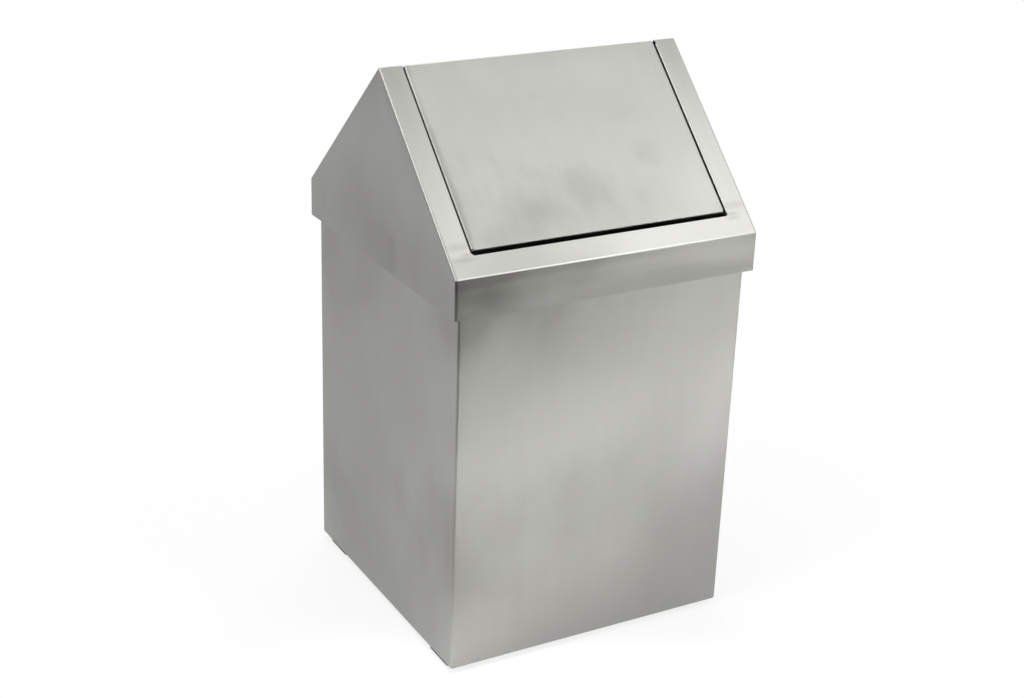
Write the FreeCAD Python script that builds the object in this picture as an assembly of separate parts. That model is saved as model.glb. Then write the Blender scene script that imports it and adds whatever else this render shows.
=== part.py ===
import FreeCAD, Part
import math
import os

from FreeCAD import Vector

# Swing-lid trash can: a square folded-steel body, a gabled lid that lifts off,
# and a tent-shaped flap that rocks on a rod just under the ridge.
# The floor is z = 0, the middle of the footprint is the origin, and the front is -Y.

# Sheet steel
sheet = 1.0
bend_inside = 1.5
bend_radius = bend_inside + sheet
seam = 0.2
fit_gap = 0.3
overrun = 10.0

# Body
body_width = 382.0
body_depth = 382.0
body_height = 509.0
rear_return = 18.0
hem_depth = 12.0
hem_gap = 0.4
hem_relief = 6.0
bottom_flange = 14.0
base_upstand = 18.0

# Feet and their fasteners
foot_side_inset = 4.0
foot_end_inset = 14.0
foot_length = 55.0
foot_corner = 8.0
foot_chamfer = 1.0
foot_web = 3.0
screw_radius = 2.5
screw_head_radius = 4.75
screw_head_height = 2.6
screw_head_round = 1.2
screw_clearance = 0.25
screw_tail = 1.5
recess_margin = 1.4
recess_clearance = 3.25
washer_radius = 8.0
washer_margin = 13.0
nut_across_flats = 8.0
nut_height = 4.0

# Lid
lid_overhang = 9.0
roof_pitch = math.radians(43.4)
skirt_height = 48.0
side_strip = 29.6
end_strip = 26.5
opening_corner = 4.0
seat_gap = 0.3
rest_length = 240.0
rest_upstand = 16.0

# Flap
flap_side_gap = 2.1
flap_end_gap = 6.1
flap_sink = 0.3
flap_return = 14.0
flap_ridge_inside = 2.0
cheek_sheet = 1.5
cheek_below_pivot = 20.0
cheek_top_share = 0.7

# Pivot
rod_radius = 4.0
rod_chamfer = 0.8
rod_tail = 2.5
rod_to_return = 3.3
running_gap = 0.05
axial_play = 0.4
bracket_sheet = 1.5
bracket_offset = 12.0
bracket_depth = 24.0
bracket_pad_rise = 6.0
bracket_eye_wall = 6.9
bush_wall = 2.0
bush_lip = 3.0
bush_flange = 1.5
bush_nose = 1.5
spacer_wall = 2.0
clip_wall = 4.0
clip_thickness = 1.2

# Worked-out places on the body
half_width = body_width / 2
half_depth = body_depth / 2
foot_height = foot_web + screw_head_height + recess_margin
screw_inset = bottom_flange + washer_radius + washer_margin
foot_half_width = screw_inset - foot_side_inset
foot_half_length = foot_length / 2
hem_radius = sheet + hem_gap / 2
rim_z = foot_height + body_height
hem_z = rim_z - hem_radius
wall_foot_z = foot_height + bend_radius
flange_top_z = foot_height + sheet
base_top_z = flange_top_z + sheet

# Worked-out places on the lid, whose roof rests on the body's front and rear rims
lid_half_width = half_width + lid_overhang
lid_half_depth = half_depth + lid_overhang
cos_pitch = math.cos(roof_pitch)
sin_pitch = math.sin(roof_pitch)
tan_pitch = math.tan(roof_pitch)
eave_z = hem_z + (hem_radius + seat_gap + sheet) / cos_pitch - (lid_overhang + hem_radius) * tan_pitch
ridge_z = eave_z + lid_half_depth * tan_pitch
skirt_foot_z = eave_z - skirt_height
slope_length = lid_half_depth / cos_pitch
opening_half_width = lid_half_width - side_strip
opening_length = slope_length - end_strip

# Worked-out places on the flap and its pivot, which clears the flap's returns
flap_half_width = opening_half_width - flap_side_gap
flap_length = opening_length - flap_end_gap
flap_foot_depth = flap_sink + flap_return
pivot_z = ridge_z - (flap_foot_depth + rod_to_return + rod_radius) / cos_pitch
bore_radius = rod_radius + running_gap
bush_radius = bore_radius + bush_wall
eye_radius = bush_radius + running_gap + bracket_eye_wall
ear_outer_x = lid_half_width - sheet - bracket_offset
ear_inner_x = ear_outer_x - bracket_sheet
bush_inner_x = ear_inner_x - bush_flange
bush_outer_x = ear_outer_x + bush_nose
clip_inner_x = bush_outer_x + axial_play
rod_half_length = clip_inner_x + clip_thickness + rod_tail

AXIS_X = Vector(1, 0, 0)
AXIS_Y = Vector(0, 1, 0)
AXIS_Z = Vector(0, 0, 1)
ORIGIN = Vector(0, 0, 0)
CORNERS = [(-1, -1), (1, -1), (-1, 1), (1, 1)]


def block(x0, x1, y0, y1, z0, z1):
    return Part.makeBox(x1 - x0, y1 - y0, z1 - z0, Vector(x0, y0, z0))


def rod_along_x(radius, x0, x1, z):
    return Part.makeCylinder(radius, x1 - x0, Vector(x0, 0, z), AXIS_X)


def post(radius, x, y, z0, z1):
    return Part.makeCylinder(radius, z1 - z0, Vector(x, y, z0), AXIS_Z)


def prism_along_x(outline_yz, x0, x1):
    points = [Vector(x0, y, z) for y, z in outline_yz]
    face = Part.Face(Part.makePolygon(points + points[:1]))
    return face.extrude(Vector(x1 - x0, 0, 0))


def prism_along_z(outline_xy, z0, z1):
    points = [Vector(x, y, z0) for x, y in outline_xy]
    face = Part.Face(Part.makePolygon(points + points[:1]))
    return face.extrude(Vector(0, 0, z1 - z0))


def line(start, end):
    return Part.LineSegment(Vector(0, *start), Vector(0, *end)).toShape()


def arc(centre, radius, start_angle, end_angle):
    def at(angle):
        return Vector(0, centre[0] + radius * math.cos(angle), centre[1] + radius * math.sin(angle))

    middle = (start_angle + end_angle) / 2
    return Part.Arc(at(start_angle), at(middle), at(end_angle)).toShape()


def section_along_x(edges, half_length):
    face = Part.Face(Part.Wire(edges))
    face.translate(Vector(-half_length, 0, 0))
    return face.extrude(Vector(2 * half_length, 0, 0))


def turned(shape, degrees):
    copy = shape.copy()
    copy.rotate(ORIGIN, AXIS_Z, degrees)
    return copy


def mirrored(shape):
    return shape.mirror(ORIGIN, AXIS_X)


def edges_where(shape, test):
    return [edge for edge in shape.Edges if test(edge)]


def runs_along(edge, axis):
    first, last = edge.Vertexes[0].Point, edge.Vertexes[-1].Point
    span = last.sub(first)
    return abs(span.dot(axis)) > span.Length * math.cos(math.radians(1))


def upright_block(x0, x1, y0, y1, z0, z1, radius):
    box = block(x0, x1, y0, y1, z0, z1)
    return box.makeFillet(radius, edges_where(box, lambda edge: runs_along(edge, AXIS_Z)))


# Body pieces


def hem_strip(half_across, half_along):
    """The rim's fold: the wall's top edge turned over inwards and pressed flat."""
    face_y = -half_across
    centre = (face_y + hem_radius, hem_z)
    inner_y = face_y + 2 * hem_radius
    foot_z = hem_z - hem_depth
    edges = [
        arc(centre, hem_radius, math.pi, 0),
        line((inner_y, hem_z), (inner_y, foot_z)),
        line((inner_y, foot_z), (inner_y - sheet, foot_z)),
        line((inner_y - sheet, foot_z), (inner_y - sheet, hem_z)),
        arc(centre, hem_gap / 2, 0, math.pi),
        line((face_y + sheet, hem_z), (face_y, hem_z)),
    ]
    return section_along_x(edges, half_along - bend_radius - hem_relief)


def foot_flange(half_across, half_along):
    """The wall's bottom edge turned inwards to carry the base, with mitred ends."""
    face_y = -half_across
    centre = (face_y + bend_radius, wall_foot_z)
    edges = [
        arc(centre, bend_radius, math.pi, 1.5 * math.pi),
        line((face_y + bend_radius, foot_height), (face_y + bottom_flange, foot_height)),
        line((face_y + bottom_flange, foot_height), (face_y + bottom_flange, flange_top_z)),
        line((face_y + bottom_flange, flange_top_z), (face_y + bend_radius, flange_top_z)),
        arc(centre, bend_inside, 1.5 * math.pi, math.pi),
        line((face_y + sheet, wall_foot_z), (face_y, wall_foot_z)),
    ]
    flange = section_along_x(edges, half_along - bend_radius)
    mitre_depth = bottom_flange + overrun
    outer_half = half_along - seam
    inner_half = outer_half - mitre_depth
    outline = [
        (-outer_half, face_y),
        (outer_half, face_y),
        (inner_half, face_y + mitre_depth),
        (-inner_half, face_y + mitre_depth),
    ]
    return flange.common(prism_along_z(outline, foot_height, wall_foot_z))


def make_body_wrap():
    """Left, front and right walls in one bent sheet, with short returns on the rear face."""
    outer = upright_block(-half_width, half_width, -half_depth, half_depth, wall_foot_z, hem_z, bend_radius)
    inner = upright_block(
        -half_width + sheet,
        half_width - sheet,
        -half_depth + sheet,
        half_depth - sheet,
        wall_foot_z - overrun,
        hem_z + overrun,
        bend_inside,
    )
    window_half = half_width - rear_return
    window = block(
        -window_half, window_half, 0, half_depth + overrun, wall_foot_z - overrun, hem_z + overrun
    )
    walls = outer.cut(inner).cut(window)
    folds = [hem_strip(half_depth, half_width), foot_flange(half_depth, half_width)]
    for degrees in (-90, 90):
        folds.append(turned(hem_strip(half_width, half_depth), degrees))
        folds.append(turned(foot_flange(half_width, half_depth), degrees))
    return walls.fuse(folds).removeSplitter()


def make_rear_panel():
    """Rear wall, lapped inside the wrap's returns."""
    across = half_depth - sheet
    along = half_width - bend_radius - fit_gap
    wall = block(-along, along, across - sheet, across, wall_foot_z, hem_z)
    folds = [hem_strip(across, half_width), foot_flange(across, along)]
    return wall.fuse([turned(fold, 180) for fold in folds]).removeSplitter()


def screw_places():
    reach_x = half_width - screw_inset
    reach_y = half_depth - foot_end_inset - foot_half_length
    return [(side_x * reach_x, side_y * reach_y) for side_x, side_y in CORNERS]


def make_base_pan():
    """Floor of the bin: a shallow tray that drops in and sits on the bottom flanges."""
    side = half_width - sheet - fit_gap
    front = -half_depth + sheet + fit_gap
    rear = half_depth - 2 * sheet - fit_gap
    rim = flange_top_z + base_upstand
    outer = block(-side, side, front, rear, flange_top_z, rim)
    below_rim = edges_where(outer, lambda edge: edge.BoundBox.ZMin < rim - sheet)
    outer = outer.makeFillet(bend_radius, below_rim)
    inner = block(-side + sheet, side - sheet, front + sheet, rear - sheet, base_top_z, rim + overrun)
    below_mouth = edges_where(inner, lambda edge: edge.BoundBox.ZMin < rim)
    pan = outer.cut(inner.makeFillet(bend_inside, below_mouth))
    for x, y in screw_places():
        hole = post(screw_radius + screw_clearance, x, y, flange_top_z - overrun, rim + overrun)
        pan = pan.cut(hole)
    return pan


def make_foot(x, y):
    """Rubber pad with a recess that hides the screw's head."""
    pad = upright_block(
        x - foot_half_width,
        x + foot_half_width,
        y - foot_half_length,
        y + foot_half_length,
        0,
        foot_height,
        foot_corner,
    )
    sole = edges_where(pad, lambda edge: edge.BoundBox.ZMax < foot_height / 2)
    pad = pad.makeChamfer(foot_chamfer, sole)
    recess_radius = screw_head_radius + recess_clearance
    pad = pad.cut(post(recess_radius, x, y, -overrun, foot_height - foot_web))
    return pad.cut(post(screw_radius + screw_clearance, x, y, -overrun, foot_height + overrun))


def make_foot_screw(x, y):
    seat_z = foot_height - foot_web
    head = post(screw_head_radius, x, y, seat_z - screw_head_height, seat_z)
    crown = edges_where(head, lambda edge: edge.BoundBox.ZMax < seat_z - screw_head_height / 2)
    head = head.makeFillet(screw_head_round, crown)
    shank = post(screw_radius, x, y, seat_z, base_top_z + nut_height + screw_tail)
    return head.fuse(shank).removeSplitter()


def make_foot_washer(x, y):
    disc = post(washer_radius, x, y, foot_height, flange_top_z)
    return disc.cut(post(screw_radius + screw_clearance, x, y, 0, rim_z))


def make_foot_nut(x, y):
    reach = nut_across_flats / math.sqrt(3)
    corners = [math.radians(60 * count) for count in range(6)]
    outline = [(x + reach * math.cos(a), y + reach * math.sin(a)) for a in corners]
    body = prism_along_z(outline, base_top_z, base_top_z + nut_height)
    return body.cut(post(screw_radius + running_gap, x, y, 0, rim_z))


# Lid pieces


def house(half_x, half_y, foot_z, eave, ridge, radius):
    """A gabled solid with every folded edge rounded; its bottom stays sharp."""
    outline = [(-half_y, foot_z), (half_y, foot_z), (half_y, eave), (0, ridge), (-half_y, eave)]
    solid = prism_along_x(outline, -half_x, half_x)
    folded = edges_where(solid, lambda edge: edge.BoundBox.ZMax > foot_z + radius)
    return solid.makeFillet(radius, folded)


def make_lid_shell():
    """The whole lid as one skin, before it is parted into its sheets."""
    outer = house(lid_half_width, lid_half_depth, skirt_foot_z, eave_z, ridge_z, bend_radius)
    inner_half_depth = lid_half_depth - sheet
    inner_ridge = ridge_z - sheet / cos_pitch
    inner_eave = inner_ridge - inner_half_depth * tan_pitch
    inner = house(
        lid_half_width - sheet,
        inner_half_depth,
        skirt_foot_z - overrun,
        inner_eave,
        inner_ridge,
        bend_inside,
    )
    return outer.cut(inner).cut(flap_opening())


def on_slope(along, outward, side):
    """A point (y, z) this far down a slope from the ridge; side -1 is the front slope."""
    y = side * (along * cos_pitch + outward * sin_pitch)
    z = ridge_z - along * sin_pitch + outward * cos_pitch
    return (y, z)


def chevron(length, top, bottom):
    """A tent-shaped band between two depths measured square to the slopes."""
    return [
        on_slope(length, top, -1),
        (0, ridge_z + top / cos_pitch),
        on_slope(length, top, 1),
        on_slope(length, bottom, 1),
        (0, ridge_z + bottom / cos_pitch),
        on_slope(length, bottom, -1),
    ]


def flap_opening():
    """Cutter for the mouth, which runs over the ridge and has round lower corners."""
    outline = chevron(opening_length, overrun, -overrun)
    cutter = prism_along_x(outline, -opening_half_width, opening_half_width)
    mouth_y, mouth_z = on_slope(opening_length, 0, 1)

    def is_lower_corner(edge):
        middle = edge.CenterOfMass
        return abs(abs(middle.y) - mouth_y) < seam and abs(middle.z - mouth_z) < seam

    return cutter.makeFillet(opening_corner, edges_where(cutter, is_lower_corner))


def apron_region(side, grow):
    """The part of the lid's skin that belongs to the front (-1) or rear (1) apron."""
    reach = lid_half_width + overrun
    corner_y = lid_half_depth - bend_radius - grow
    skirt = block(-reach, reach, corner_y, lid_half_depth + overrun, skirt_foot_z - overrun, ridge_z)
    start = opening_length - grow
    band = [
        on_slope(start, overrun, 1),
        on_slope(start, -overrun, 1),
        on_slope(slope_length + overrun, -overrun, 1),
        on_slope(slope_length + overrun, overrun, 1),
    ]
    half = lid_half_width - bend_radius + grow
    region = skirt.fuse(prism_along_x(band, -half, half))
    return region if side > 0 else turned(region, 180)


def make_lid_apron(side, shell):
    """Skirt with its two corner bends and the strip below the flap."""
    return shell.common(apron_region(side, 0))


def make_lid_gable(shell):
    """Left end wall with the two roof strips folded from it."""
    reach = lid_half_width + overrun
    left = block(-reach, 0, -reach, reach, skirt_foot_z - overrun, ridge_z + overrun)
    gable = shell.common(left)
    for side in (-1, 1):
        gable = gable.cut(apron_region(side, seam))
    return gable


def make_lid_rest():
    """Angle strip inside the left gable that sits on the body's side rim."""
    wall_x = -lid_half_width + sheet
    shelf_x = -half_width + 2 * hem_radius
    shelf_z = rim_z + seat_gap
    half = rest_length / 2
    upright = block(wall_x, wall_x + sheet, -half, half, shelf_z, shelf_z + rest_upstand)
    shelf = block(wall_x, shelf_x, -half, half, shelf_z, shelf_z + sheet)
    angle = upright.fuse(shelf).removeSplitter()
    heel = edges_where(
        angle,
        lambda edge: runs_along(edge, AXIS_Y)
        and edge.BoundBox.XMax < wall_x + sheet / 2
        and edge.BoundBox.ZMax < shelf_z + sheet / 2,
    )
    return angle.makeFillet(bend_inside, heel)


def make_pivot_bracket():
    """Folded saddle on the left gable: pad on the wall, web below, ear round the bush."""
    wall_x = -lid_half_width + sheet
    web_z = pivot_z - bracket_depth
    half = eye_radius
    pad = block(wall_x, wall_x + bracket_sheet, -half, half, web_z, pivot_z + bracket_pad_rise)
    web = block(wall_x, -ear_inner_x, -half, half, web_z, web_z + bracket_sheet)
    ear = block(-ear_outer_x, -ear_inner_x, -half, half, web_z, pivot_z)
    eye = rod_along_x(half, -ear_outer_x, -ear_inner_x, pivot_z)
    bracket = pad.fuse([web, ear, eye]).removeSplitter()
    heels = edges_where(
        bracket, lambda edge: runs_along(edge, AXIS_Y) and edge.BoundBox.ZMax < web_z + bracket_sheet / 2
    )
    bracket = bracket.makeFillet(bend_radius, heels)
    hole = rod_along_x(bush_radius + running_gap, -ear_outer_x - overrun, 0, pivot_z)
    return bracket.cut(hole)


def make_pivot_bush():
    """Flanged nylon bush in the left bracket's ear."""
    barrel = rod_along_x(bush_radius, -bush_outer_x, -ear_inner_x, pivot_z)
    flange = rod_along_x(bush_radius + bush_lip, -ear_inner_x, -bush_inner_x, pivot_z)
    bore = rod_along_x(bore_radius, -lid_half_width, 0, pivot_z)
    return barrel.fuse(flange).removeSplitter().cut(bore)


# Flap pieces


def slope_depth(point):
    """How far a point lies below the roof's outer face, measured square to its slope."""
    return (ridge_z - point.z) * cos_pitch - abs(point.y) * sin_pitch


def tent(half_x, length, face_depth, foot_depth, edge_radius, ridge_radius):
    """A tent-shaped slab with its ridge and the edges of its outer face rounded."""
    slab = prism_along_x(chevron(length, -face_depth, -foot_depth), -half_x, half_x)
    face_edges = edges_where(slab, lambda edge: slope_depth(edge.CenterOfMass) < face_depth + seam)
    ridge = [edge for edge in face_edges if abs(edge.CenterOfMass.y) < seam]
    slab = slab.makeFillet(ridge_radius, ridge)
    end_y = on_slope(length, -face_depth, 1)[0]

    def is_folded(edge):
        middle = edge.CenterOfMass
        on_side = abs(abs(middle.x) - half_x) < seam
        on_end = abs(abs(middle.y) - end_y) < seam
        on_face = slope_depth(middle) < face_depth + seam
        return on_face and (on_side or on_end)

    return slab.makeFillet(edge_radius, edges_where(slab, is_folded))


def make_flap_panel():
    """One sheet bent over the ridge, with its side and bottom edges returned inwards."""
    ridge_radius = flap_ridge_inside + sheet
    outer = tent(flap_half_width, flap_length, flap_sink, flap_foot_depth, bend_radius, ridge_radius)
    inner = tent(
        flap_half_width - sheet,
        flap_length - sheet,
        flap_sink + sheet,
        flap_foot_depth + overrun,
        bend_inside,
        flap_ridge_inside,
    )
    return outer.cut(inner)


def make_flap_cheek():
    """Left end plate inside the tent, welded to the returns and threaded on the rod."""
    peak_z = ridge_z - (flap_sink + bend_radius + fit_gap) / cos_pitch
    top_z = pivot_z + (peak_z - pivot_z) * cheek_top_share
    foot_z = pivot_z - cheek_below_pivot
    half_top = (peak_z - top_z) / tan_pitch
    half_foot = (peak_z - foot_z) / tan_pitch
    outline = [(-half_foot, foot_z), (half_foot, foot_z), (half_top, top_z), (-half_top, top_z)]
    outer_x = -flap_half_width + sheet
    plate = prism_along_x(outline, outer_x, outer_x + cheek_sheet)
    return plate.cut(rod_along_x(bore_radius, -lid_half_width, 0, pivot_z))


def make_pivot_rod():
    rod = rod_along_x(rod_radius, -rod_half_length, rod_half_length, pivot_z)
    ends = edges_where(rod, lambda edge: edge.BoundBox.XLength < rod_chamfer)
    return rod.makeChamfer(rod_chamfer, ends)


def make_rod_spacer():
    """Sleeve that keeps the flap centred between the left bush and the flap's end."""
    start = -bush_inner_x + axial_play
    end = -flap_half_width - axial_play
    sleeve = rod_along_x(bore_radius + spacer_wall, start, end, pivot_z)
    return sleeve.cut(rod_along_x(bore_radius, -lid_half_width, 0, pivot_z))


def make_rod_clip():
    """Push-on ring that stops the rod leaving the left bush."""
    ring = rod_along_x(bore_radius + clip_wall, -clip_inner_x - clip_thickness, -clip_inner_x, pivot_z)
    return ring.cut(rod_along_x(bore_radius, -lid_half_width, 0, pivot_z))


def both_sides(name, left):
    return {name + "_left": left, name + "_right": mirrored(left)}


def make_parts():
    places = screw_places()
    shell = make_lid_shell()
    gable = make_lid_gable(shell)
    clip = make_rod_clip()
    parts = {
        "body_wrap": make_body_wrap(),
        "rear_panel": make_rear_panel(),
        "base_pan": make_base_pan(),
        "foot_screws": Part.makeCompound([make_foot_screw(*place) for place in places]),
        "foot_washers": Part.makeCompound([make_foot_washer(*place) for place in places]),
        "foot_nuts": Part.makeCompound([make_foot_nut(*place) for place in places]),
        "lid_front_apron": make_lid_apron(-1, shell),
        "lid_rear_apron": make_lid_apron(1, shell),
        "lid_left_gable": gable,
        "lid_right_gable": mirrored(gable),
        "flap_panel": make_flap_panel(),
        "pivot_rod": make_pivot_rod(),
        "rod_clips": Part.makeCompound([clip, mirrored(clip)]),
    }
    feet = ("foot_front_left", "foot_front_right", "foot_rear_left", "foot_rear_right")
    for name, place in zip(feet, places):
        parts[name] = make_foot(*place)
    parts.update(both_sides("lid_rest", make_lid_rest()))
    parts.update(both_sides("pivot_bracket", make_pivot_bracket()))
    parts.update(both_sides("pivot_bush", make_pivot_bush()))
    parts.update(both_sides("flap_cheek", make_flap_cheek()))
    parts.update(both_sides("rod_spacer", make_rod_spacer()))
    return parts


def main():
    os.makedirs("parts", exist_ok=True)
    for name, shape in sorted(make_parts().items()):
        valid = all(solid.isValid() for solid in shape.Solids)
        print(f"{name}: {len(shape.Solids)} solid(s), {shape.Volume:.1f} mm3, valid {valid}")
        shape.exportStep(os.path.join("parts", name + ".step"))


main()
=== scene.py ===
import math

import bmesh
import bpy
from mathutils import Matrix, Vector


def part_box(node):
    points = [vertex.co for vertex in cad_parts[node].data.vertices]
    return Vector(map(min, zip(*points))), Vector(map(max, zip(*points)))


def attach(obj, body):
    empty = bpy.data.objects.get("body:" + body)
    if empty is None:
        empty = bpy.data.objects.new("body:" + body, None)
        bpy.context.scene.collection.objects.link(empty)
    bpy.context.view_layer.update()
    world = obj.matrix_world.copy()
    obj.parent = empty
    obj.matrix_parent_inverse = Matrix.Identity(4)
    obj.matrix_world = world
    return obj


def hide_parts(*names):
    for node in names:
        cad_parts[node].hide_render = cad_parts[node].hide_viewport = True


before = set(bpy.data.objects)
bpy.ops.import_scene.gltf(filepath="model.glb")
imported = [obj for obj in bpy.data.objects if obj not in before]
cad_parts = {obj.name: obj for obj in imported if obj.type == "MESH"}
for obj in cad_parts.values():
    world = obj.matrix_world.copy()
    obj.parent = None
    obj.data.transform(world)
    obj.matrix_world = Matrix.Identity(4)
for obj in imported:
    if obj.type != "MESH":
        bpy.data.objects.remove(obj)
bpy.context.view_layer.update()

mm = 0.001
tiny = 1e-7                         # metres, slack where two lengths are compared
bendStep = 0.4 * mm                 # narrow step of a net beside each bend
sharpAngle = math.radians(40)       # edges that turn further than this shade as sheared ones
noiseMiddle = 0.5                   # a noise's mean
noiseRange = (0.3, 0.7)             # most of a noise lies between these
up = Vector((0, 0, 1))
print("frame loaded with", len(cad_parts), "CAD pieces")


# Small helpers

def linear(code):
    # an sRGB hex colour as the linear values that sockets take
    shares = [int(code[i:i + 2], 16) / 255 for i in (1, 3, 5)]
    return [s / 12.92 if s <= 0.04045 else ((s + 0.055) / 1.055) ** 2.4 for s in shares] + [1.0]


def addNode(tree, kind, settings=None, links=None):
    node = tree.nodes.new(kind)
    for key, value in (settings or {}).items():
        if isinstance(key, str) and hasattr(node, key):
            setattr(node, key, value)
        else:
            node.inputs[key].default_value = value
    for key, socket in (links or {}).items():
        tree.links.new(socket, node.inputs[key])
    return node


def stretch(start, stop, count):
    # count steps from start to stop, both ends included
    return [start + (stop - start) * i / count for i in range(count + 1)]


def held(start, stop, count):
    # the same with a narrow step beside each end, so that shading stays flat right up to a bend
    step = math.copysign(bendStep, stop - start)
    return [start, start + step] + stretch(start, stop, count)[1:-1] + [stop - step, stop]


def smooth(t):
    t = min(max(t, 0.0), 1.0)
    return t * t * (3 - 2 * t)


def ripple(waves, u, v):
    # slow hollows that rolled sheet keeps after folding: depth and lengths in mm, then phase
    total = 0.0
    for depth, acrossLength, alongLength, phase in waves:
        turns = (u / acrossLength + v / alongLength) / mm
        total += depth * (0.5 + 0.5 * math.sin(2 * math.pi * turns + phase))
    return total * mm


def panelFade(u, uLow, uHigh, v, vLow, vHigh, margin):
    # 0 on a panel's borders, 1 a margin inside them
    fade = 1.0
    for gap in (u - uLow, uHigh - u, v - vLow, vHigh - v):
        fade *= smooth(gap / margin)
    return fade


# A sheet piece is one or more nets of stations (point, outward normal, place on the flat sheet)

def sheetPiece(name, nets, finishes, gauge, body, nodes, turn=None):
    bm = bmesh.new()
    uvLayer = bm.loops.layers.uv.new("sheet")
    skin, lining, flat = {}, {}, {}

    def corner(station):
        point, normal, place = station
        if turn is not None:
            point, normal = turn @ point, turn @ normal
        key = tuple(round(c / mm * 1000) for c in point)      # to the micrometre
        if key not in skin:
            skin[key] = bm.verts.new(point)
            lining[key] = bm.verts.new(point - normal * gauge)
            flat[key] = place
        return key, normal, place

    def addFace(verts, places, finish):
        face = bm.faces.new(verts)
        face.smooth = True
        face.material_index = finish
        for loop, place in zip(face.loops, places):
            loop[uvLayer].uv = place

    used = {}
    for finish, net in enumerate(nets):
        for here, there in zip(net, net[1:]):
            for low in range(len(here) - 1):
                cell = [here[low], there[low], there[low + 1], here[low + 1]]
                if None in cell:
                    continue
                ring = []
                for station in cell:
                    made = corner(station)
                    if all(made[0] != other[0] for other in ring):
                        ring.append(made)
                if len(ring) < 3:
                    continue
                spots = [skin[key].co for key, _, _ in ring]
                facing = (spots[1] - spots[0]).cross(spots[-1] - spots[0])
                if facing.dot(ring[0][1]) < 0:
                    ring.reverse()
                keys = [key for key, _, _ in ring]
                places = [place for _, _, place in ring]
                addFace([skin[key] for key in keys], places, finish)
                addFace([lining[key] for key in reversed(keys)], places[::-1], len(finishes))
                for edge in zip(keys, keys[1:] + keys[:1]):
                    used[edge] = finish
    for start, end in sorted(used):
        if (end, start) not in used:      # a sheared edge of the sheet
            rim = [skin[end], skin[start], lining[start], lining[end]]
            addFace(rim, [flat[end], flat[start], flat[start], flat[end]], used[start, end])
    bm.normal_update()
    for edge in bm.edges:
        if len(edge.link_faces) == 2 and edge.calc_face_angle() > sharpAngle:
            edge.smooth = False
    mesh = bpy.data.meshes.new(name)
    bm.to_mesh(mesh)
    bm.free()
    piece = bpy.data.objects.new(name, mesh)
    bpy.context.scene.collection.objects.link(piece)
    for finish in finishes + [insideSteel]:
        mesh.materials.append(finish)
    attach(piece, body)
    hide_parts(*nodes)
    print("made", name, "with", len(mesh.polygons), "faces")


# Satin stainless steel, drawn through a finishing belt: fine straight scratches blur what it
# reflects across the grain, and handling leaves slow dull clouds; listed spots shift the colour,
# some of them handling marks and welds, most of them painted shade and painted highlights

satin = {
    "ragged": 0.9,                  # how far the clouds fray a spot's border
    "spotFade": (0.5, 1.5),          # where a spot begins to fade and where it ends, in shares of its reach
    "rampMiddle": 0.5,              # an even spot, with no mark and no painted shade, takes the middle of its colours
    "scratchDepth": 0.05 * mm,
}


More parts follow.
